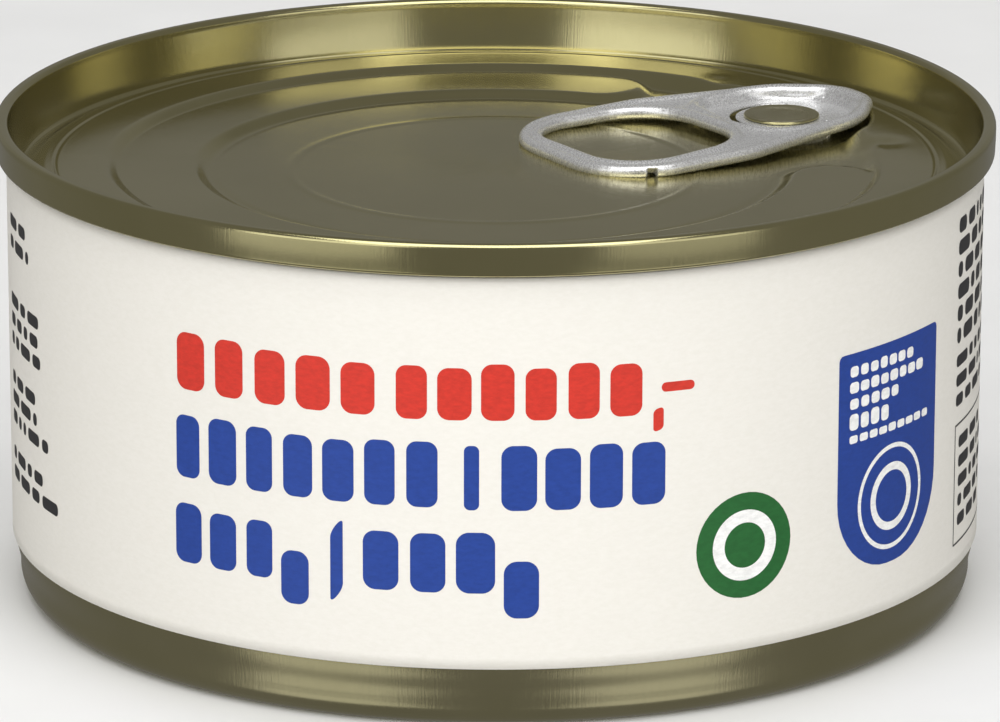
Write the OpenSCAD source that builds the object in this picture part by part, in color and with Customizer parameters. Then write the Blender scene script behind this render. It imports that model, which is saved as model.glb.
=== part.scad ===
// A shut food can: a drawn tinplate body with its bottom in one piece, an easy-open
// end double-seamed on top, a ring-pull tab held by the end's own rivet, and a
// wrap-round paper label. Millimetres, +Z up, origin at the centre of the base.

/* [Can] */
// Outer radius of the double seam, the widest part of the can
seam_r = 43.25; // [38:0.05:52]
// Height from the table to the top of the seam
can_h = 41.9; // [36:0.1:60]
// Step in from the seam's outer face to the body wall
seam_step = 1.17; // [1.15:0.01:1.3]
// Thickness of the body sheet
body_t = 0.18; // [0.14:0.01:0.2]
// Radius of the rounded corner between wall and bottom
base_corner = 2.1; // [1.5:0.1:4]
// How much the wall draws in below the label
base_taper = 0.45; // [0.2:0.05:0.8]
// Width of the flat ring that the can stands on
foot_w = 3; // [2:0.5:5]
// Depth of the recessed bottom panel
base_recess = 1.2; // [0.6:0.1:2]

/* [Label] */
// Height of the label's lower edge
label_z = 5.4; // [3.5:0.1:9]
// Gap between the label's upper edge and the seam
label_gap = 0.25; // [0.1:0.05:2]
// Thickness of paper and glue together
label_t = 0.2; // [0.1:0.02:0.4]
// Thickness of the glued overlap at the back
lap_t = 0.1; // [0.06:0.02:0.2]
// Width of the glued overlap
lap_w = 9; // [5:1:14]

/* [Easy-open end] */
// Thickness of the end sheet
end_t = 0.22; // [0.18:0.01:0.24]
// Height of the seam
seam_h = 2.8; // [2.5:0.05:3.2]
// Free width in the seam beyond its five thicknesses of sheet
seam_slack = 0.18; // [0.14:0.01:0.3]
// Depth of the countersink groove below the seam top
sink_d = 4.9; // [4.2:0.1:6]
// Slope of the chuck wall, how much its foot draws in
chuck_in = 0.6; // [0.3:0.05:1]
// Depth of the outer panel ring below the seam top
outer_d = 4.0; // [3:0.1:4.6]
// Depth of the raised C-shaped bead below the seam top
bead_d = 4.5; // [4.3:0.1:4.8]
// Depth of the middle ring below the seam top
middle_d = 5.05; // [4.6:0.05:6]
// Depth of the round centre panel below the seam top
centre_d = 5.5; // [5.1:0.05:6.6]
// Distance from the seam's outer face to the score line
score_in = 5.15; // [4.8:0.05:6]
// Depth of the score line
score_depth = 0.1; // [0.05:0.01:0.12]
// Radius where the outer panel ring begins to fall
panel_r = 34; // [33.5:0.1:34.5]
// Inner radius of the C-shaped bead's flat top
bead_r = 26.2; // [25.5:0.1:27]
// Radius of the centre panel's edge
centre_r = 17.4; // [14:0.1:18]
// Half of the angle that the C-shaped bead leaves free for the tab
bead_gap = 33; // [31:1:44]
// Radius of the flat pocket that the tab's nose end lies in
nest_r = 8.35; // [8.2:0.05:8.4]

/* [Pull tab] */
// Direction of the tab on the end, from +X
tab_azimuth = 31.5; // [0:0.5:360]
// Distance of the rivet from the can's axis
rivet_in = 29.8; // [29.3:0.1:29.9]
// Radius of the rivet's head
rivet_r = 3.37; // [2.6:0.05:3.6]
// Radius of the rivet's shank
shank_r = 1.8; // [1.4:0.05:2.2]
// Length of the tab from rivet to finger end
tab_back = 24.3; // [22:0.1:25]
// Length of the tab from rivet to nose
tab_nose = 8.5; // [8:0.1:8.6]
// Half width of the finger ring
ring_half = 10.3; // [9:0.1:10.6]
// Half width of the tab beside the rivet
nose_half = 7.4; // [7.2:0.1:8]
// Thickness of the tab over its curled edge
tab_t = 1.25; // [1.1:0.05:1.3]
// Width of the finger ring's band
band_w = 2.6; // [2.2:0.1:3]
// Thickness of the tab's sheet
sheet_t = 0.25; // [0.2:0.01:0.28]
// Height of the tab's plate above the middle ring
plate_lift = 0.5; // [0.1:0.05:0.6]
// Radius of the well round the rivet
well_r = 6.4; // [6.2:0.05:6.5]
// Half width of the well
well_half = 5.95; // [5.6:0.05:6.1]
// Width of the slit that frees the rivet's tongue
slit_w = 0.5; // [0.3:0.05:0.6]
// Width of the notch where the curled edge meets its own end
notch_w = 0.95; // [0.4:0.05:1.2]
// Fall of the tab towards its finger end, in degrees
tab_fall = 2.05; // [1.8:0.05:2.2]

/* [Hidden] */
$fn = 72;

// Clearance between sheets that are pressed together
clear = 0.02;
// Clearance between the tab's ring and the end below it
tab_clear = 0.15;
// Steps used for each eased slope and each rounded corner
ease_n = 7;
arc_n = 5;

// Heights on the end's upper face
z_outer = can_h - outer_d;
z_bead = can_h - bead_d;
z_middle = can_h - middle_d;
z_centre = can_h - centre_d;
z_sink = can_h - sink_d;
z_nest = z_middle - 0.03;
seam_low = can_h - seam_h;

// Radii that follow the seam
seam_t = 3 * end_t + 2 * body_t + seam_slack;
body_r = seam_r - seam_step;
chuck_r = seam_r - seam_t;
sink_r = chuck_r - chuck_in;
score_r = seam_r - score_in;
join_r = score_r - 0.4;
fall_w = 2.6;
bead_side = 1.3;
curl_r = end_t + body_t / 2 + clear;
fold_r = body_t + end_t / 2 + clear;
sink_curve = 0.5;
top_curve = 0.45;

// Heights of the tab: it clears the end below its finger end and below its nose
z_plate = z_middle + plate_lift;
z_head = z_plate + sheet_t + 0.04;
drop = tan(tab_fall);
step_u = rivet_in - sqrt(centre_r * centre_r - pow(ring_half - tab_t / 2, 2));
tab_top = tab_t + max(
  z_centre + tab_clear + drop * tab_back,
  z_middle + clear / 2 + drop * step_u
);
nose_clear = 0.08;
tongue_r = 4.1;
tongue_open = 40;
ring_u = -tab_back + 10.7;
hole_end = -9;

// Points from (r0, z0) to (r1, z1) along a slope with no sharp start or end
function ease(r0, z0, r1, z1) = [
  for (i = [0:ease_n])
    [r0 + (r1 - r0) * i / ease_n, z0 + (z1 - z0) * (1 - cos(180 * i / ease_n)) / 2]
];

function arc(x, z, r, a0, a1) = [
  for (i = [0:arc_n])
    let (a = a0 + (a1 - a0) * i / arc_n)
      [x + r * cos(a), z + r * sin(a)]
];

// Right-hand normal of the step from a to b
function side_of(a, b) = [b[1] - a[1], a[0] - b[0]] / norm(b - a);

// The same path moved to its right by t, with mitred corners
function moved(p, t) = [
  for (i = [0:len(p) - 1])
    let (
      before = side_of(p[max(i - 1, 0)], p[max(i, 1)]),
      after = side_of(p[min(i, len(p) - 2)], p[min(i + 1, len(p) - 1)]),
      middle = (before + after) / norm(before + after)
    ) p[i] + t * middle / (middle * before)
];

function reversed(p) = [for (i = [len(p) - 1:-1:0]) p[i]];

// The end's upper face outside the score line, over the seam and into its hook
function rim_path() = concat(
  ease(score_r + 0.8, z_outer, sink_r - sink_curve, z_sink),
  arc(sink_r - sink_curve, z_sink + sink_curve, sink_curve, 280, 355),
  arc(chuck_r + top_curve, can_h - top_curve, top_curve, 172, 90),
  arc(seam_r - top_curve, can_h - top_curve, top_curve, 90, 0),
  arc(seam_r - curl_r, seam_low + curl_r, curl_r, 0, -180),
  [[seam_r - 2 * curl_r, seam_low + 0.6 * seam_h]]
);

function score_path() = [
  [join_r, z_outer],
  [score_r - 0.12, z_outer],
  [score_r - 0.03, z_outer - score_depth],
  [score_r + 0.03, z_outer - score_depth],
  [score_r + 0.12, z_outer]
];

// The round profile of the whole end, before the recesses in its panel
module end_profile() {
  path = rim_path();
  centre_ease = ease(centre_r - 2.6, z_centre, centre_r, z_middle);
  rotate_extrude()
    polygon(concat(
      [[0, z_centre]],
      centre_ease,
      ease(panel_r - fall_w, z_middle, panel_r, z_outer),
      score_path(),
      path,
      reversed(moved(path, end_t)),
      [[join_r, z_outer - end_t], [join_r - 0.3, z_middle - end_t]],
      reversed([for (p = centre_ease) p - [0, end_t]]),
      [[0, z_centre - end_t]]
    ));
}

// The C-shaped bead, with sloping sides; its outer side runs into the panel's fall
module bead() {
  root = 0.1;
  out_r = panel_r - fall_w / 2 + 0.3;
  half_w = (panel_r - fall_w / 2 - bead_r) / 2;
  mid_r = bead_r + half_w;
  end_turn = asin(half_w / mid_r);
  rise = z_bead - z_middle + root;
  rotate([0, 0, tab_azimuth + bead_gap + end_turn])
    rotate_extrude(angle = 360 - 2 * (bead_gap + end_turn))
      translate([0, z_middle - root])
        polygon([[bead_r - bead_side, 0], [out_r, 0], [out_r, rise], [bead_r, rise]]);
  for (side = [-1, 1])
    rotate([0, 0, tab_azimuth + side * (bead_gap + end_turn)])
      translate([mid_r, 0, z_middle - root])
        cylinder(h = rise, r1 = half_w + bead_side - 0.1, r2 = half_w - 0.1);
}

// Space under the bead, so that the sheet keeps its thickness
module bead_under() {
  turn = bead_gap + 14;
  rotate([0, 0, tab_azimuth + turn])
    rotate_extrude(angle = 360 - 2 * turn)
      translate([bead_r + 0.4, z_middle - 2])
        square([panel_r - bead_r + 1.6, z_bead - end_t - z_middle + 2]);
}

// Space over the flat pocket that the tab's nose end lies in
module nest_space() {
  lean = 0.8;
  rise = 1.5 * (z_outer - z_nest);
  translate([-1.5, 0, z_nest])
    cylinder(h = rise, r1 = nest_r, r2 = nest_r + lean * rise);
}

// The rivet is drawn up from the end's own sheet and flattened over the tab
module rivet_outside() {
  translate([0, 0, z_middle - 0.5 * end_t])
    cylinder(h = z_head - z_middle + end_t, r = shank_r);
  translate([0, 0, z_head])
    rotate_extrude()
      polygon(concat(
        [[0, 0], [rivet_r - 0.08, 0]],
        arc(rivet_r - 0.1, 0.1, 0.1, -60, 80),
        [[rivet_r - 1, end_t], [0, end_t]]
      ));
}

module rivet_inside() {
  translate([0, 0, z_middle - 2 * end_t])
    cylinder(h = z_head - z_middle + 2 * end_t, r = shank_r - 0.7 * end_t);
}

module at_rivet() {
  rotate([0, 0, tab_azimuth])
    translate([rivet_in, 0, 0])
      children();
}

module can_end() {
  color([0.55, 0.52, 0.30])
    difference() {
      union() {
        difference() {
          union() {
            end_profile();
            bead();
          }
          at_rivet() nest_space();
          bead_under();
        }
        at_rivet() rivet_outside();
      }
      at_rivet() rivet_inside();
    }
}

// The body wall's inner face below the seam and over into its hook
function hook_path() =
  let (x = seam_r - end_t - clear - 2 * fold_r, z = seam_low - label_gap) concat(
    [[body_r - body_t, z - 0.8], [body_r - body_t, z - 0.03]],
    arc(x + fold_r, can_h - end_t - 2 * clear - fold_r, fold_r, 180, 0),
    [[x + 2 * fold_r, seam_low + end_t + 0.35]]
  );

module can_body() {
  wall_in = body_r - base_taper;
  foot_r = wall_in - base_corner;
  hook = hook_path();
  z_fill = z_centre - end_t - 0.05;
  wall_r = body_r - body_t;
  color([0.58, 0.56, 0.36])
    rotate_extrude()
      polygon(concat(
        [[0, base_recess]],
        ease(foot_r - foot_w - 9, base_recess, foot_r - foot_w - 7, base_recess * 0.6),
        ease(foot_r - foot_w - 2, base_recess * 0.6, foot_r - foot_w, 0),
        arc(foot_r, base_corner, base_corner, -90, 0),
        ease(wall_in, base_corner + 0.4, body_r, label_z),
        moved(hook, body_t),
        reversed(hook),
        [[wall_r, z_fill + 0.3], [wall_r - 0.3, z_fill], [0, z_fill]]
      ));
}

module label() {
  label_h = seam_low - label_gap - label_z;
  color([0.92, 0.90, 0.86]) {
    translate([0, 0, label_z])
      rotate_extrude()
        translate([body_r + clear, 0])
          square([label_t, label_h]);
    rotate([0, 0, 90 - lap_w / body_r * 90 / PI])
      translate([0, 0, label_z])
        rotate_extrude(angle = lap_w / body_r * 180 / PI)
          translate([body_r + clear + label_t / 2, 0])
            square([label_t / 2 + lap_t, label_h]);
  }
}

// A disc with a round edge, lying with its middle plane on z = 0
module round_disc(r) {
  rotate_extrude($fn = 40)
    translate([r - tab_t / 2, 0])
      circle(r = tab_t / 2, $fn = 14);
}

// The tab's outline as a solid with a round edge
module tab_slab() {
  corner = 7.3;
  hull() {
    for (side = [-1, 1]) {
      for (along = [-1, 1])
        translate([ring_u + along * (tab_back + ring_u - corner), side * (ring_half - corner), 0])
          round_disc(corner);
      translate([0.4, side * (nose_half - 6.6), 0]) round_disc(6.6);
      translate([tab_nose - 4.2, side * 0.6, 0]) round_disc(4.2);
    }
  }
}

// The finger hole, wider towards its upper and lower faces by flare
module finger_hole(h, flare) {
  back_r = 4.6;
  front_r = 5.6;
  half = ring_half - band_w;
  hull() {
    for (side = [-1, 1]) {
      translate([-tab_back + band_w + back_r, side * (half - back_r), 0])
        cylinder(h = h, r1 = back_r, r2 = back_r + flare, $fn = 32);
      translate([hole_end - front_r, side * (half - 0.5 - front_r), 0])
        cylinder(h = h, r1 = front_r, r2 = front_r + flare, $fn = 32);
    }
  }
}

// The well round the rivet, a circle with two flattened sides
module well(h, grow, lean) {
  intersection() {
    cylinder(h = h, r1 = well_r + grow, r2 = well_r + grow + lean);
    translate([-10, -well_half - grow - lean, 0])
      cube([20, 2 * (well_half + grow + lean), h]);
  }
}

module tab_tilted() {
  translate([0, 0, tab_top])
    rotate([0, -tab_fall, 0])
      translate([0, 0, -tab_t / 2])
        children();
}

// Notch in the curled edge of the finger ring
module notch() {
  translate([ring_u - 6.2, -ring_half - 1, -tab_t])
    rotate([0, 0, -14])
      cube([notch_w, 1.75, 1.75 * tab_t]);
}

module pull_tab() {
  rim = 0.5;
  color([0.80, 0.80, 0.80])
    at_rivet()
      difference() {
        union() {
          tab_tilted() tab_slab();
          translate([0, 0, z_plate]) well(tab_top - z_plate - 0.5, sheet_t, 0.2);
        }
        tab_tilted() {
          translate([0, 0, -tab_t]) finger_hole(2 * tab_t, 0);
          translate([0, 0, tab_t / 2 - 0.4]) finger_hole(0.5, rim);
          mirror([0, 0, 1]) translate([0, 0, tab_t / 2 - 0.4]) finger_hole(0.5, rim);
          notch();
        }
        translate([0, 0, z_plate + sheet_t]) well(2, 0, 0.5);
        // Underside of the nose, which stands over the outer panel ring
        translate([well_r + sheet_t + 0.03, -15, z_outer + nose_clear - 4]) cube([20, 30, 4]);
        translate([0, 0, z_plate - 1]) cylinder(h = 3, r = shank_r + 0.1);
        // Slit that frees the tongue on all sides but the nose
        rotate([0, 0, tongue_open])
          rotate_extrude(angle = 360 - 2 * tongue_open)
            translate([tongue_r, z_plate - 0.5])
              square([slit_w, sheet_t + 0.6]);
      }
}

can_body();
can_end();
pull_tab();
label();
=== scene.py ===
import math

import bpy
import numpy as np
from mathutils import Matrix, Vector


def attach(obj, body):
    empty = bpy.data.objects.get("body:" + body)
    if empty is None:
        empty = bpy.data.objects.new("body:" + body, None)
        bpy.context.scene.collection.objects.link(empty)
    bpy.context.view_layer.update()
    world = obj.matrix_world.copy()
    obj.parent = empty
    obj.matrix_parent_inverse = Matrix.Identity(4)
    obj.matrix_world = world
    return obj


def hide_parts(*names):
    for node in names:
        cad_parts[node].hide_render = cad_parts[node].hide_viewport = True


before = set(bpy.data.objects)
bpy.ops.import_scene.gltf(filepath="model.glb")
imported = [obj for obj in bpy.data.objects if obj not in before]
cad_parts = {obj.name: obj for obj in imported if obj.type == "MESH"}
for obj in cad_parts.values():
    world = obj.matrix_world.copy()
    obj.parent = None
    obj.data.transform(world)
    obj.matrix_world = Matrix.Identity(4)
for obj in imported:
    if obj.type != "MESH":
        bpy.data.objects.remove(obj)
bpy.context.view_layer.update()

# Sizes of the part, in millimetres
SEAM_R = 43.25
CAN_H = 41.9
SEAM_H = 2.8
SEAM_T = 1.2
BODY_R = 42.08
BASE_CORNER = 2.1
BASE_TAPER = 0.45
FOOT_W = 3.0
BASE_RECESS = 1.2
LABEL_Z = 5.4
LABEL_TOP = 38.85
LABEL_R = 42.3
LAP_T = 0.1
LAP_W = 9.0
SINK_R = 41.45
Z_SINK = 37.0
Z_OUTER = 37.9
Z_BEAD = 37.4
Z_MIDDLE = 36.85
Z_CENTRE = 36.4
SCORE_R = 38.1
PANEL_R = 34.0
FALL_W = 2.6
BEAD_R = 26.2
BEAD_SIDE = 1.3
CENTRE_R = 17.4
BEAD_GAP = 33.0
TAB_AZIMUTH = math.radians(31.5)
RIVET_IN = 29.8
RIVET_R = 3.37
SHANK_R = 1.8
TAB_T = 1.25
TAB_TOP = 38.67
TAB_DROP = math.tan(math.radians(2.05))
TAB_BACK = 24.3
Z_PLATE = 37.35
SHEET_T = 0.25
NEST_R = 8.35
TOP_CURVE = 0.45
SINK_CURVE = 0.5
PANEL_EDGE = 38.9
HEAD_GAP = 0.04
HEAD_T = 0.22

# Sizes that only the visual model has, in millimetres; DENT_TURN is in degrees
LIP_H = 0.045
TROUGH = 0.05
DENT_R = 34.6
DENT_TURN = 22.5
DENT_DEPTH = 0.22
PAPER_GAP = 0.01
PRINT_LIFT = 0.012
TOP_PRINT_LIFT = 0.022
NET_STEP = 0.14

MM = 0.001


# ---------------------------------------------------------------- mesh tools


def to_object(name, points, faces, material):
    mesh = bpy.data.meshes.new(name)
    mesh.from_pydata((np.asarray(points) * MM).tolist(), [], faces)
    mesh.materials.append(material)
    mesh.polygons.foreach_set("use_smooth", [True] * len(mesh.polygons))
    mesh.update()
    obj = bpy.data.objects.new(name, mesh)
    bpy.context.scene.collection.objects.link(obj)
    return obj


def arc(x, z, radius, start, end, steps=10):
    """Points round (x, z), between two angles in degrees."""
    turns = np.radians(np.linspace(start, end, steps + 1))
    return [(x + radius * math.cos(a), z + radius * math.sin(a)) for a in turns]


def rise(t):
    """An eased step from 0 to 1."""
    t = np.clip(t, 0.0, 1.0)
    return t * t * (3 - 2 * t)


def smooth_min(a, b, k):
    """The lesser of two distances, blended over a width of k."""
    h = np.clip(0.5 + 0.5 * (b - a) / k, 0, 1)
    return b + (a - b) * h - k * h * (1 - h)


def lathe(name, profile, material, turns=384, height=None):
    """A round skin from (radius, height) points; a first radius of 0 is closed."""
    profile = np.asarray(profile, float)
    angles = np.linspace(0, 2 * math.pi, turns, endpoint=False)
    radius, angle = np.meshgrid(profile[:, 0], angles, indexing="ij")
    x, y = radius * np.cos(angle), radius * np.sin(angle)
    z = np.repeat(profile[:, 1:2], turns, axis=1)
    if height is not None:
        z = height(x, y, z)
    points = np.stack([x, y, z], axis=-1).reshape(-1, 3)
    i, j = np.meshgrid(np.arange(len(profile) - 1), np.arange(turns), indexing="ij")
    k = (j + 1) % turns
    quads = np.stack([i * turns + j, (i + 1) * turns + j, (i + 1) * turns + k, i * turns + k], -1)
    return to_object(name, points, quads.reshape(-1, 4).tolist(), material)


def surface_net(values, origin, step):
    """Points and quads of the surface where values cross zero, with less than 0 inside."""
    cells = tuple(n - 1 for n in values.shape)
    total, count = np.zeros(cells + (3,)), np.zeros(cells)
    for axis in range(3):
        others = [a for a in range(3) if a != axis]
        for a in (0, 1):
            for b in (0, 1):
                low = [0, 0, 0]
                low[others[0]], low[others[1]] = a, b
                high = list(low)
                high[axis] = 1
                f0 = values[tuple(slice(s, s + n) for s, n in zip(low, cells))]
                f1 = values[tuple(slice(s, s + n) for s, n in zip(high, cells))]
                cross = (f0 < 0) != (f1 < 0)
                part = np.where(cross, f0 / np.where(cross, f0 - f1, 1), 0)
                for x in range(3):
                    total[..., x] += np.where(cross, low[x], 0) + (part if x == axis else 0)
                count += cross
    active = count > 0
    index = np.zeros(cells, int)
    index[active] = np.arange(active.sum())
    points = np.argwhere(active) + total[active] / count[active][:, None]
    quads = []
    for axis in range(3):
        one, two = np.eye(3, dtype=int)[(axis + 1) % 3], np.eye(3, dtype=int)[(axis + 2) % 3]
        inner = [slice(1, -1)] * 3
        low, high = list(inner), list(inner)
        low[axis], high[axis] = slice(0, -1), slice(1, None)
        f0, f1 = values[tuple(low)], values[tuple(high)]
        node = np.argwhere((f0 < 0) != (f1 < 0)) + 1
        node[:, axis] -= 1
        out = values[tuple(node.T)] < 0
        loop = np.stack([index[tuple((node - a).T)] for a in (one + two, two, 0 * one, one)], -1)
        loop[~out] = loop[~out][:, ::-1]
        quads.append(loop)
    return np.asarray(origin) + points * step, np.concatenate(quads).tolist()


def hull_of(circles, steps=48):
    """Convex outline, anticlockwise, round circles given as (x, y, radius)."""
    turns = np.linspace(0, 2 * math.pi, steps, endpoint=False)
    spots = sorted((x + r * math.cos(a), y + r * math.sin(a)) for x, y, r in circles for a in turns)

    def chain(items):
        line = []
        for p in items:
            while len(line) > 1:
                (ax, ay), (bx, by) = line[-2], line[-1]
                if (bx - ax) * (p[1] - ay) - (by - ay) * (p[0] - ax) > 0:
                    break
                line.pop()
            line.append(p)
        return line[:-1]

    return np.array(chain(spots) + chain(spots[::-1]))


def outline_distance(x, y, outline):
    """Signed distance to a convex anticlockwise outline, less than 0 inside."""
    best = np.full(x.shape, 1e9)
    outside = np.full(x.shape, -1e9)
    for (ax, ay), (bx, by) in zip(outline, np.roll(outline, -1, axis=0)):
        ex, ey = bx - ax, by - ay
        length = math.hypot(ex, ey)
        t = np.clip(((x - ax) * ex + (y - ay) * ey) / length**2, 0, 1)
        best = np.minimum(best, np.hypot(x - ax - t * ex, y - ay - t * ey))
        outside = np.maximum(outside, ((x - ax) * ey - (y - ay) * ex) / length)
    return np.where(outside > 0, best, -best)


# ---------------------------------------------------------------- materials


def new_material(name):
    material = bpy.data.materials.new(name)
    material.use_nodes = True
    nodes, links = material.node_tree.nodes, material.node_tree.links
    return material, nodes, links, nodes["Principled BSDF"]


def add_noise(nodes, links, scale, stretch=(1, 1, 1), detail=3.0, roughness=0.5):
    coords = nodes.new("ShaderNodeTexCoord")
    mapping = nodes.new("ShaderNodeMapping")
    mapping.inputs["Scale"].default_value = stretch
    noise = nodes.new("ShaderNodeTexNoise")
    noise.inputs["Scale"].default_value = scale
    noise.inputs["Detail"].default_value = detail
    noise.inputs["Roughness"].default_value = roughness
    links.new(coords.outputs["Object"], mapping.inputs["Vector"])
    links.new(mapping.outputs["Vector"], noise.inputs["Vector"])
    return noise


def add_ramp(nodes, links, source, low, high, start=0.3, end=0.7):
    ramp = nodes.new("ShaderNodeValToRGB")
    ramp.color_ramp.elements[0].position = start
    ramp.color_ramp.elements[1].position = end
    ramp.color_ramp.elements[0].color = low
    ramp.color_ramp.elements[1].color = high
    links.new(source, ramp.inputs["Fac"])
    return ramp


def add_range(nodes, links, source, low, high):
    spread = nodes.new("ShaderNodeMapRange")
    spread.inputs["To Min"].default_value = low
    spread.inputs["To Max"].default_value = high
    links.new(source, spread.inputs["Value"])
    return spread


def add_bump(nodes, links, shader, source, distance, strength=1.0):
    bump = nodes.new("ShaderNodeBump")
    bump.inputs["Strength"].default_value = strength
    bump.inputs["Distance"].default_value = distance
    links.new(source, bump.inputs["Height"])
    links.new(bump.outputs["Normal"], shader.inputs["Normal"])


def angle_coords(nodes, links, around, along):
    """Coordinates that follow the round of the can: angle and height, each scaled."""
    coords = nodes.new("ShaderNodeTexCoord")
    split = nodes.new("ShaderNodeSeparateXYZ")
    turn = nodes.new("ShaderNodeMath")
    turn.operation = "ARCTAN2"
    links.new(coords.outputs["Object"], split.inputs["Vector"])
    links.new(split.outputs["Y"], turn.inputs[0])
    links.new(split.outputs["X"], turn.inputs[1])
    scaled = nodes.new("ShaderNodeMath")
    scaled.operation = "MULTIPLY"
    scaled.inputs[1].default_value = around
    links.new(turn.outputs["Value"], scaled.inputs[0])
    lifted = nodes.new("ShaderNodeMath")
    lifted.operation = "MULTIPLY"
    lifted.inputs[1].default_value = along
    links.new(split.outputs["Z"], lifted.inputs[0])
    joined = nodes.new("ShaderNodeCombineXYZ")
    links.new(scaled.outputs["Value"], joined.inputs["X"])
    links.new(lifted.outputs["Value"], joined.inputs["Y"])
    return joined.outputs["Vector"]


def lacquer(name, low, high, roughness, streak):
    """Tinplate under a clear gold lacquer, with faint streaks up its walls."""
    material, nodes, links, shader = new_material(name)
    shader.inputs["Metallic"].default_value = 1.0
    cloud = add_noise(nodes, links, 60, detail=4)
    ramp = add_ramp(nodes, links, cloud.outputs["Fac"], low, high)
    links.new(ramp.outputs["Color"], shader.inputs["Base Color"])
    lines = nodes.new("ShaderNodeTexNoise")
    lines.inputs["Scale"].default_value = 1.0
    lines.inputs["Detail"].default_value = 5
    lines.inputs["Roughness"].default_value = 0.65
    links.new(angle_coords(nodes, links, 260, 260), lines.inputs["Vector"])
    spread = add_range(nodes, links, lines.outputs["Fac"], roughness * 0.6, roughness * 1.4)
    links.new(spread.outputs["Result"], shader.inputs["Roughness"])
    add_bump(nodes, links, shader, lines.outputs["Fac"], streak)
    shader.inputs["Coat Weight"].default_value = 0.08
    shader.inputs["Coat Roughness"].default_value = 0.05
    return material


def satin_silver():
    """Bare tinplate with the fine grain of rolled and pressed sheet."""
    material, nodes, links, shader = new_material("tab_satin")
    shader.inputs["Metallic"].default_value = 0.72
    grain = add_noise(nodes, links, 5500, detail=4, roughness=0.6)
    low, high = (0.62, 0.62, 0.62, 1), (0.94, 0.94, 0.94, 1)
    ramp = add_ramp(nodes, links, grain.outputs["Fac"], low, high)
    links.new(ramp.outputs["Color"], shader.inputs["Base Color"])
    spread = add_range(nodes, links, grain.outputs["Fac"], 0.14, 0.42)
    links.new(spread.outputs["Result"], shader.inputs["Roughness"])
    add_bump(nodes, links, shader, grain.outputs["Fac"], 0.00002, 0.8)
    return material


def paper(name, low, high, roughness=0.5, grain=0.000012):
    """Coated label paper, or ink on it, with a fine fibre grain."""
    material, nodes, links, shader = new_material(name)
    fibre = add_noise(nodes, links, 1400, stretch=(1, 1, 2.2), detail=6, roughness=0.65)
    ramp = add_ramp(nodes, links, fibre.outputs["Fac"], low, high, 0.35, 0.65)
    links.new(ramp.outputs["Color"], shader.inputs["Base Color"])
    spread = add_range(nodes, links, fibre.outputs["Fac"], roughness - 0.08, roughness + 0.08)
    links.new(spread.outputs["Result"], shader.inputs["Roughness"])
    add_bump(nodes, links, shader, fibre.outputs["Fac"], grain)
    shader.inputs["Specular IOR Level"].default_value = 0.35
    return material


def shade(colour, factor):
    """The same colour, lighter or darker."""
    return tuple(c * factor for c in colour[:3]) + (1,)


def ink(name, colour):
    return paper(name, shade(colour, 0.9), shade(colour, 1.1), 0.42, 0.000008)


# ---------------------------------------------------------------- the body


def build_body(material):
    wall = BODY_R - BASE_TAPER
    foot = wall - BASE_CORNER
    inner = foot - FOOT_W
    step = BASE_RECESS * 0.4
    low = BASE_RECESS - step
    slope = 2.0
    eased = np.linspace(0, 1, 12)
    # Panel, its step, the ring round it, the foot and the rounded corner
    profile = [(0.0, BASE_RECESS)]
    profile += [(r, BASE_RECESS) for r in np.linspace(2, inner - 9.4, 8)]
    profile += [(inner - 9 + slope * t, BASE_RECESS - step * float(rise(t))) for t in eased]
    profile += [(r, low) for r in np.linspace(inner - 6.6, inner - 2.4, 5)]
    profile += [(inner - slope + slope * t, low * (1 - float(rise(t)))) for t in eased]
    profile += [(r, 0.0) for r in np.linspace(inner + 0.3, foot - 0.1, 5)]
    profile += arc(foot, BASE_CORNER, BASE_CORNER, -90, 0, 16)
    # The wall widens to the label's lower edge, and leans out inside the seam
    start = BASE_CORNER + 0.4
    for t in np.linspace(0, 1, 13):
        profile.append((wall + BASE_TAPER * float(rise(t)), start + t * (LABEL_Z - start)))
    profile += [(BODY_R, z) for z in (8, 20, 32, 38.3, LABEL_TOP)]
    profile += [(BODY_R + 0.12, 39.3), (BODY_R + 0.37, 40.6), (BODY_R + 0.37, 41.2)]
    obj = lathe("body_skin", profile, material)
    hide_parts("can_body")
    return obj


# ---------------------------------------------------------------- the end


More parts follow.
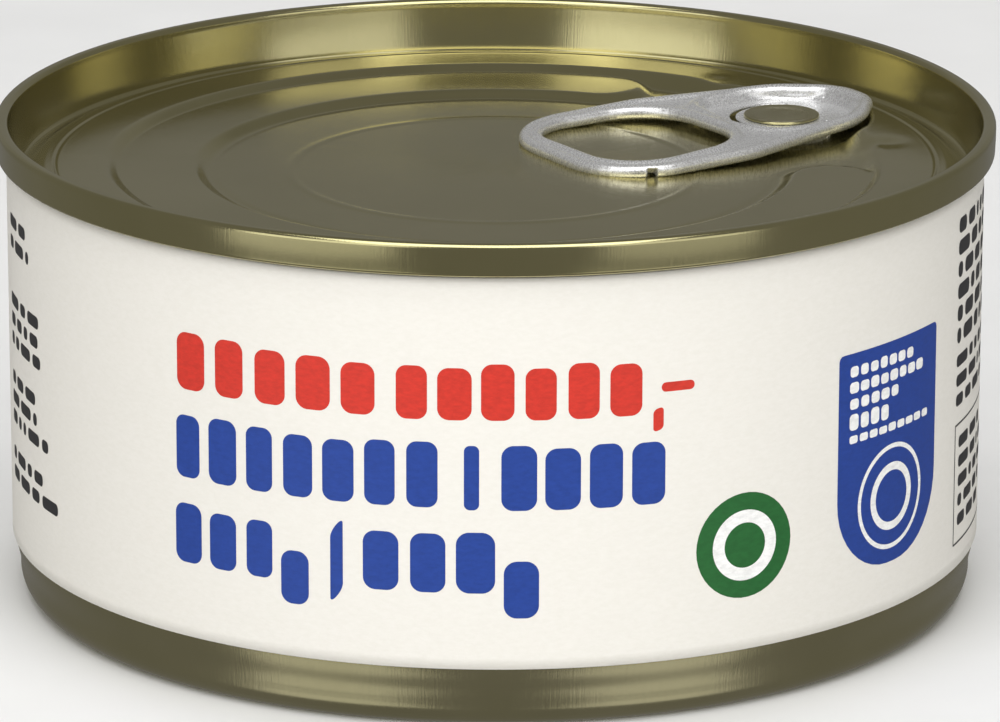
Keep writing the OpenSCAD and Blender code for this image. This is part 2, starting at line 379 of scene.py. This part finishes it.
def end_height(x, y, z):
    """Height of the end's panel; points outside the panel keep their own height."""
    radius = np.hypot(x, y)
    top = Z_CENTRE + (Z_MIDDLE - Z_CENTRE) * rise((radius - CENTRE_R + 2.6) / 2.6)
    top = top + LIP_H * np.exp(-(((radius - CENTRE_R - 0.35) / 0.45) ** 2))
    fall = top + (Z_OUTER - Z_MIDDLE) * rise((radius - PANEL_R + FALL_W) / FALL_W)
    # C-shaped bead, open towards the tab, with round ends
    u = x * math.cos(TAB_AZIMUTH) + y * math.sin(TAB_AZIMUTH)
    v = -x * math.sin(TAB_AZIMUTH) + y * math.cos(TAB_AZIMUTH)
    half = (PANEL_R - FALL_W / 2 - BEAD_R) / 2
    mid = BEAD_R + half
    end = math.radians(BEAD_GAP) + math.asin(half / mid)
    across = np.abs(radius - mid) - half
    past = np.hypot(u - mid * math.cos(end), np.abs(v) - mid * math.sin(end)) - half
    inside = np.abs(np.arctan2(v, u)) > end
    edge = np.where(inside, across, past)
    bead = Z_MIDDLE + (Z_BEAD - Z_MIDDLE) * (1 - rise(edge / BEAD_SIDE))
    # A faint trough at the foot of the bead's inner side
    foot = np.where(radius < mid, np.exp(-(((edge - BEAD_SIDE - 0.25) / 0.4) ** 2)), 0)
    height = np.where(radius < PANEL_R - 0.2, np.maximum(fall, bead), fall) - TROUGH * foot
    # Flat pocket below the tab's nose end, and two small dents beside it
    pocket = np.hypot(u - RIVET_IN + 1.5, v) - NEST_R
    height = smooth_min(height, Z_MIDDLE - 0.03 + np.maximum(pocket, 0) / 0.8, 0.12)
    for side in (-1, 1):
        turn = TAB_AZIMUTH + side * math.radians(DENT_TURN)
        away = np.hypot(x - DENT_R * math.cos(turn), y - DENT_R * math.sin(turn))
        height = height - DENT_DEPTH * np.exp(-((away / 1.5) ** 2))
    # Score line with slightly raised banks
    line = (radius - SCORE_R) / 0.13
    banks = 0.012 * np.exp(-((np.abs(line) - 2.2) ** 2))
    height = height - 0.09 * np.exp(-(line**2)) + banks
    return np.where(radius < SCORE_R + 0.8, height, z)


def build_end(material):
    def span(a, b, step):
        return np.linspace(a, b, max(2, int(round((b - a) / step))), endpoint=False)

    # Rings lie close together where the panel's height changes
    radii = np.concatenate([
        span(0, 14.4, 1.2), span(14.4, 18.6, 0.2), span(18.6, 23.6, 0.42), span(23.6, 34.4, 0.19),
        span(34.4, 37.6, 0.3), span(37.6, 38.8, 0.08), [PANEL_EDGE - 0.01],
    ])
    profile = [(r, Z_OUTER) for r in radii]
    # The countersink groove
    groove = SINK_R - SINK_CURVE
    for t in np.linspace(0, 1, 18):
        z = Z_OUTER + (Z_SINK - Z_OUTER) * float(rise(t))
        profile.append((PANEL_EDGE + (groove - PANEL_EDGE) * t, z))
    profile += arc(groove, Z_SINK + SINK_CURVE, SINK_CURVE, 275, 353, 9)
    # The chuck wall, slightly bowed
    wall_low, wall_high = profile[-1], (SEAM_R - SEAM_T + 0.004, CAN_H - 0.5)
    for t in np.linspace(0.08, 1, 12):
        bow = 0.03 * math.sin(math.pi * t)
        profile.append((
            wall_low[0] + (wall_high[0] - wall_low[0]) * t + bow,
            wall_low[1] + (wall_high[1] - wall_low[1]) * t,
        ))
    # Over the seam, down its outside and round its lower edge
    rim, low, curl, draw = CAN_H - TOP_CURVE, CAN_H - SEAM_H, 0.34, 0.05
    profile += arc(SEAM_R - SEAM_T + TOP_CURVE, rim, TOP_CURVE, 172, 90)
    profile += arc(SEAM_R - TOP_CURVE, rim, TOP_CURVE, 90, 0)
    for t in np.linspace(0.08, 1, 12):
        profile.append((SEAM_R - draw * t * t, rim + (low + curl + 0.02 - rim) * t))
    profile += arc(SEAM_R - draw - curl, low + curl, curl, -5, -175)
    profile.append((SEAM_R - draw - 2 * curl, low + 1.2))
    obj = lathe("end_skin", profile, material, 460, end_height)
    obj.data.flip_normals()
    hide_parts("can_end")
    return obj


def at_rivet(u, v, z):
    """Points given from the rivet: u runs outwards along the tab, v to its left."""
    c, s = math.cos(TAB_AZIMUTH), math.sin(TAB_AZIMUTH)
    x, y = (RIVET_IN + u) * c - v * s, (RIVET_IN + u) * s + v * c
    return np.stack([x, y, z], axis=-1)


def build_rivet(material):
    """The flattened head of the rivet that is drawn up from the end's own sheet."""
    top = Z_PLATE + SHEET_T + HEAD_GAP + HEAD_T
    crown, edge = 0.02, 0.13
    profile = [(r, top + crown - 0.03 * (r / 3) ** 2) for r in (0.0, 0.8, 1.6, 2.3)]
    profile += [(2.75, top - 0.005), (2.95, top + crown)]
    profile += arc(RIVET_R - edge, top - 0.1, edge, 100, -70)
    profile += [(SHANK_R + 0.3, top - HEAD_T), (SHANK_R, top - HEAD_T - HEAD_GAP)]
    profile.append((SHANK_R, Z_MIDDLE - 0.1))
    obj = lathe("rivet_head", profile, material, 128)
    obj.data.flip_normals()
    points = np.array([v.co for v in obj.data.vertices]) / MM
    placed = at_rivet(points[:, 0], points[:, 1], points[:, 2]) * MM
    obj.data.vertices.foreach_set("co", placed.astype("f").ravel())
    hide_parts("can_end")
    return obj


# ---------------------------------------------------------------- the tab


def build_tab(material):
    """Curled sheet: rolls round the outline, the finger hole and the well, with a web between."""
    u = np.arange(-TAB_BACK - 0.6, 9.2, NET_STEP)
    v = np.arange(-10.9, 10.9 + NET_STEP, NET_STEP)
    z = np.arange(36.3, 39.3, NET_STEP)
    flat_u, flat_v = np.meshgrid(u, v, indexing="ij")
    ring = -TAB_BACK + 10.7
    outline = hull_of(
        [(ring + a * 3.4, b * 3.0, 7.3) for a in (-1, 1) for b in (-1, 1)]
        + [(0.4, b * 0.8, 6.6) for b in (-1, 1)]
        + [(4.3, b * 0.6, 4.2) for b in (-1, 1)]
    )
    hole = hull_of(
        [(-TAB_BACK + 7.2, -3.1, 4.6), (-TAB_BACK + 7.0, 3.5, 4.6)]
        + [(-13.4, -1.6, 5.6), (-13.8, 2.2, 5.8)]
    )
    well = hull_of([(0.5, 0, 5.9), (-3.5, 4.5, 1.4), (-2.2, -2.6, 2.8)])
    out, into, rim = (
        outline_distance(flat_u, flat_v, line)[..., None] for line in (outline, hole, well)
    )
    # w is the height above the tab's own sloping middle plane
    height = z[None, None, :]
    w = height - (TAB_TOP - TAB_T / 2 + TAB_DROP * flat_u[..., None])
    u3, v3 = flat_u[..., None], flat_v[..., None]
    # Rolls round the outline, the hole and the well, and the web between them
    roll = 0.6
    body = np.hypot(out + roll, w) - roll
    body = smooth_min(body, np.hypot(into - 0.72, w) - 0.61, 0.3)
    body = smooth_min(body, np.hypot(rim - 1.05, w - 0.04) - 0.5, 0.3)
    web = np.maximum(out + roll, 0.7 - into)
    web = np.maximum(web, np.maximum(1.0 - rim, np.abs(w - 0.1) - 0.17))
    body = smooth_min(body, web, 0.28)
    # The well's leaning wall and the plate at its foot
    plate_z = Z_PLATE + SHEET_T / 2
    lean = 0.7 * (height - plate_z)
    ends = np.maximum(plate_z - 0.1 - height, w - 0.2)
    wall = np.maximum(np.abs(rim - 0.06 - lean) - 0.14, ends)
    body = smooth_min(body, wall, 0.2)
    plate = np.maximum(rim - 0.15, np.abs(height - plate_z) - SHEET_T / 2)
    # The slit round the rivet leaves its tongue joined on the nose side
    reach = np.hypot(u3, v3)
    behind = u3 - reach * math.cos(math.radians(50))
    slit = np.maximum(np.abs(reach - 4.35) - 0.26, behind)
    plate = np.maximum(plate, np.maximum(-slit, SHANK_R + 0.1 - reach))
    body = smooth_min(body, plate, 0.16)
    # The curl's two ends meet in a butt joint on the outer edge of the ring
    c, s = math.cos(math.radians(-14)), math.sin(math.radians(-14))
    along = (u3 - (ring - 6.15)) * c + (v3 + 9.55) * s
    inner = 0.8 * (w - 0.3) - 0.5 - out
    joint = np.maximum(np.abs(along) - 0.42, np.maximum(inner, np.maximum(w - 0.3, v3 + 5)))
    body = np.maximum(body, -joint)
    points, quads = surface_net(body, (u[0], v[0], z[0]), NET_STEP)
    placed = at_rivet(points[:, 0], points[:, 1], points[:, 2])
    obj = to_object("tab_skin", placed, quads, material)
    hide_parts("pull_tab")
    return obj


# ---------------------------------------------------------------- the label


def on_label(s, z, radius):
    """A point on the label: s runs to the right round the can from its front."""
    turn = s / LABEL_R
    return (radius * math.sin(turn), -radius * math.cos(turn), z)


def build_label(material):
    """The wrapped sheet, with one end lapped over the other at the back."""
    seam = math.pi * LABEL_R
    turns = 400
    inner = BODY_R + PAPER_GAP
    loop = []
    for i in range(turns + 1):
        s = -seam + 2 * seam * i / turns
        lap = LAP_T * float(rise((LAP_W / 2 - (s + seam)) / 1.2 + 0.5))
        lap = max(lap, LAP_T * float(rise((s - seam + LAP_W / 2) / 0.4 + 0.5)))
        loop.append((s, LABEL_R + lap))
    rows = [(inner, LABEL_Z), (None, LABEL_Z + 0.03), (None, LABEL_Z + 1)]
    rows += [(None, z) for z in np.linspace(8, 36, 8)]
    rows += [(None, LABEL_TOP - 1), (None, LABEL_TOP - 0.03), (inner, LABEL_TOP)]
    points = [on_label(s, z, r or full) for r, z in rows for s, full in loop]
    n = turns + 1
    faces = [
        (i * n + j, i * n + j + 1, (i + 1) * n + j + 1, (i + 1) * n + j)
        for i in range(len(rows) - 1)
        for j in range(turns)
    ]
    obj = to_object("label_sheet", points, faces, material)
    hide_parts("label")
    return obj


class Print:
    """Flat shapes of one colour, printed on the label."""

    def __init__(self, name, colour, lift=PRINT_LIFT):
        self.name, self.colour, self.lift = name, colour, lift
        self.points, self.faces = [], []

    def strip(self, columns):
        """Columns are (s, low z, high z) from left to right."""
        start = len(self.points)
        for s, low, high in columns:
            self.points.append(on_label(s, low, LABEL_R + self.lift))
            self.points.append(on_label(s, high, LABEL_R + self.lift))
        for i in range(len(columns) - 1):
            a = start + 2 * i
            self.faces.append((a, a + 2, a + 3, a + 1))

    def tile(self, s, z, width, height, corner, tilt=0.0, bottom=None):
        """A rounded tile centred at (s, z); tilt raises its right side."""
        bottom = corner if bottom is None else bottom
        steps = 22
        turns = (1 - np.cos(np.linspace(0, math.pi, steps))) / 2
        columns = []
        for t in turns:
            x = (t - 0.5) * width
            reach = width / 2 - abs(x)
            high, low = height / 2, -height / 2
            if reach < corner:
                high -= corner - math.sqrt(max(corner**2 - (corner - reach) ** 2, 0))
            if reach < bottom:
                low += bottom - math.sqrt(max(bottom**2 - (bottom - reach) ** 2, 0))
            columns.append((s + x, z + low + tilt * x, z + high + tilt * x))
        self.strip(columns)

    def ring(self, s, z, radius, width):
        """A round band."""
        turns = np.linspace(0, 2 * math.pi, 60)
        first = len(self.points)
        for a in turns:
            for r in (radius - width / 2, radius + width / 2):
                spot = (s + r * math.cos(a), z + r * math.sin(a))
                self.points.append(on_label(spot[0], spot[1], LABEL_R + self.lift))
        for i in range(len(turns) - 1):
            a = first + 2 * i
            self.faces.append((a, a + 1, a + 3, a + 2))

    def build(self):
        obj = to_object(self.name, self.points, self.faces, ink(self.name + "_ink", self.colour))
        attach(obj, "root")
        return obj


RED = (0.62, 0.035, 0.02)
BLUE = (0.016, 0.055, 0.30)
GREEN = (0.018, 0.13, 0.03)
DARK = (0.03, 0.03, 0.032)
WHITE = (0.9, 0.9, 0.88)


def word(sheet, start, end, base, height, count, fill, seed):
    """A row of rounded tiles of slightly uneven size, one for each place in the row."""
    pitch = (end - start) / count
    rng = np.random.default_rng(seed)
    for i in range(count):
        wide = pitch * fill * (0.92 + 0.16 * rng.random())
        tall = height * (0.93 + 0.12 * rng.random())
        s = start + pitch * (i + 0.5)
        sheet.tile(s, base + tall / 2, wide, tall, min(wide, tall) * 0.34)


def lines(sheet, start, end, top, step, count, height, seed):
    """Rows of small dark bars in place of small print."""
    rng = np.random.default_rng(seed)
    for row in range(count):
        s = start
        stop = end - (end - start) * 0.35 * rng.random()
        while s < stop:
            wide = min(0.9 + 2.6 * rng.random(), stop - s)
            if wide > 0.5:
                sheet.tile(s + wide / 2, top - step * row, wide, height, height * 0.4)
            s += wide + 0.7


def build_print():
    red = Print("print_red", RED)
    word(red, -28.8, -9.4, 26.9, 4.7, 5, 0.74, 1)
    word(red, -8.6, 12.6, 26.8, 4.7, 6, 0.76, 2)
    red.tile(13.6, 26.3, 0.9, 1.9, 0.35, 0.3)
    red.tile(15.3, 29.0, 2.9, 0.8, 0.38, 0.0)
    blue = Print("print_blue", BLUE)
    word(blue, -29.0, -4.2, 19.3, 5.6, 7, 0.74, 3)
    blue.tile(-1.9, 21.9, 1.25, 5.5, 0.5)
    word(blue, 0.2, 14.6, 19.1, 5.6, 4, 0.76, 4)
    word(blue, -29.0, -18.4, 11.9, 5.0, 3, 0.74, 5)
    blue.tile(-16.9, 12.3, 2.5, 4.6, 1.0)
    blue.tile(-13.2, 14.2, 1.1, 6.2, 0.5, 1.2)
    word(blue, -11.4, 0.4, 12.0, 5.2, 3, 0.76, 6)
    blue.tile(2.2, 12.3, 2.9, 4.9, 1.1)
    blue.tile(38.4, 19.3, 14.2, 19.4, 0.5, 0.0, 6.6)
    green = Print("print_green", GREEN)
    green.tile(21.6, 14.5, 9.1, 9.1, 4.55)
    white = Print("print_white", WHITE, TOP_PRINT_LIFT)
    white.ring(21.6, 14.5, 2.5, 1.1)
    # Height, width and tallness of each row on the upright tag
    rows = (
        (27.4, 9.0, 0.95),
        (26.0, 10.6, 0.95),
        (24.6, 6.8, 0.95),
        (23.0, 5.4, 1.4),
        (21.5, 11.6, 0.7),
    )
    left = 32.5
    for row, (z, wide, tall) in enumerate(rows):
        count = max(3, int(wide / 1.25))
        word(white, left, left + wide, z - tall / 2, tall, count, 0.8, 20 + row)
    white.ring(38.4, 15.4, 4.4, 0.4)
    white.ring(38.4, 15.4, 2.6, 0.7)
    dark = Print("print_dark", DARK)
    # Small print at the sides of the front
    lines(dark, -58.5, -50.5, 34.6, 1.9, 2, 1.1, 7)
    lines(dark, -58.5, -46.5, 27.6, 1.75, 3, 1.1, 8)
    lines(dark, -58.5, -45.0, 20.6, 1.75, 3, 1.1, 9)
    lines(dark, -58.5, -43.4, 13.8, 1.75, 2, 1.1, 10)
    lines(dark, 50.4, 66, 36.0, 1.95, 6, 1.35, 11)
    lines(dark, 50.4, 66, 24.0, 1.75, 3, 1.05, 12)
    lines(dark, 51.4, 65, 16.6, 1.75, 5, 1.05, 13)
    # A thin frame round the lowest rows
    thin = 0.18
    for z in (18.3, 7.6):
        dark.tile(59, z, 17.4, thin, 0.05)
    for s in (50.4, 67.6):
        dark.tile(s, 12.95, thin, 10.8, 0.05)
    # Rows and stripes at the back
    lines(dark, 74, 112, 35.0, 2.0, 13, 1.05, 14)
    lines(dark, -112, -74, 34.0, 2.0, 9, 1.05, 15)
    for i in range(26):
        dark.tile(-106 + i * 0.95, 11.2, 0.28 + 0.3 * ((i * 7) % 3) / 2, 8.4, 0.05)
    return [sheet.build() for sheet in (red, blue, green, white, dark)]


# ---------------------------------------------------------------- the stage


def emitter(name, place, target, size, power, mirrored=True):
    data = bpy.data.lights.new(name, "AREA")
    data.shape, data.size, data.size_y = "RECTANGLE", size[0], size[1]
    data.energy = power
    obj = bpy.data.objects.new(name, data)
    obj.location = place
    direction = Vector(target) - Vector(place)
    obj.rotation_euler = direction.to_track_quat("-Z", "Y").to_euler()
    obj.visible_glossy = mirrored
    bpy.context.scene.collection.objects.link(obj)
    return obj


def around(turn, rise_angle, distance):
    """A place at a turn from the front, to the right, and an angle above the can's top."""
    a, e = math.radians(turn), math.radians(rise_angle)
    return (
        distance * math.cos(e) * math.sin(a),
        -distance * math.cos(e) * math.cos(a),
        0.035 + distance * math.sin(e),
    )


def build_stage():
    material, nodes, links, shader = new_material("floor_matte")
    fine = add_noise(nodes, links, 40)
    ramp = add_ramp(nodes, links, fine.outputs["Fac"], (0.8, 0.8, 0.795, 1), (0.84, 0.84, 0.835, 1))
    links.new(ramp.outputs["Color"], shader.inputs["Base Color"])
    shader.inputs["Roughness"].default_value = 0.9
    shader.inputs["Specular IOR Level"].default_value = 0.1
    half, depth, steps = 1600, 1700, 14
    rows = [(-1300, 0.0)] + [
        (depth - 500 + 500 * math.sin(a), 500 - 500 * math.cos(a))
        for a in np.linspace(0, math.pi / 2, steps)
    ] + [(depth, 1500.0)]
    points = [(x, y, z) for y, z in rows for x in (-half, half)]
    faces = [(2 * i, 2 * i + 1, 2 * i + 3, 2 * i + 2) for i in range(len(rows) - 1)]
    floor = to_object("floor", points, faces, material)
    floor.visible_glossy = False
    world = bpy.data.worlds.new("studio")
    world.use_nodes = True
    world.node_tree.nodes["Background"].inputs["Color"].default_value = (1.0, 0.98, 0.95, 1)
    world.node_tree.nodes["Background"].inputs["Strength"].default_value = 0.18
    bpy.context.scene.world = world
    bpy.context.scene.view_settings.view_transform = "Standard"
    aim = (0, 0, 0.035)
    # Soft boxes that the metal mirrors: turn and rise in degrees, size in metres, glow
    for name, turn, up, size, glow in (
        ("left_floor", -40, -32, (0.60, 0.36), 0.5),
        ("left_low", -42, -10, (0.66, 0.26), 0.5),
        ("left_high", -38, 17, (0.68, 0.60), 1.15),
        ("right_floor", 40, -32, (0.60, 0.36), 0.45),
        ("right_low", 42, -10, (0.60, 0.26), 0.34),
        ("right_high", 40, 17, (0.62, 0.60), 0.8),
        ("front_top", 0, 54, (1.0, 0.62), 2.3),
        ("front_high", 0, 79, (0.9, 0.40), 1.7),
        ("back_dim", 180, 17, (1.3, 0.44), 0.03),
    ):
        emitter(name, around(turn, up, 0.95), aim, size, glow * math.pi * size[0] * size[1])
    # Fill light that no surface mirrors
    emitter("fill_front", around(0, 25, 1.2), aim, (1.6, 0.8), 4.0, mirrored=False)
    emitter("fill_back", around(180, 55, 1.3), aim, (1.4, 0.8), 3.6, mirrored=False)
    emitter("fill_top", (0, 0.05, 1.1), aim, (0.9, 0.9), 1.6, mirrored=False)


def build_camera():
    data = bpy.data.cameras.new("camera")
    data.lens, data.sensor_width = 253.76, 36.0
    data.shift_x = 0.00135
    data.clip_start, data.clip_end = 0.05, 20
    obj = bpy.data.objects.new("camera", data)
    obj.location = (0, -0.5913, 0.1928)
    obj.rotation_euler = (math.radians(90 - 16.337), math.radians(-0.106), 0)
    bpy.context.scene.collection.objects.link(obj)
    bpy.context.scene.camera = obj


# ---------------------------------------------------------------- assembly

build_camera()
BODY = lacquer("body_lacquer", (0.50, 0.462, 0.265, 1), (0.575, 0.53, 0.32, 1), 0.2, 0.000012)
END = lacquer("end_lacquer", (0.51, 0.468, 0.24, 1), (0.58, 0.533, 0.29, 1), 0.14, 0.000006)
PAPER = paper("label_paper", (0.815, 0.79, 0.725, 1), (0.845, 0.82, 0.76, 1))
for piece in (
    build_body(BODY),
    build_end(END),
    build_rivet(END),
    build_tab(satin_silver()),
    build_label(PAPER),
):
    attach(piece, "root")
build_print()
build_stage()
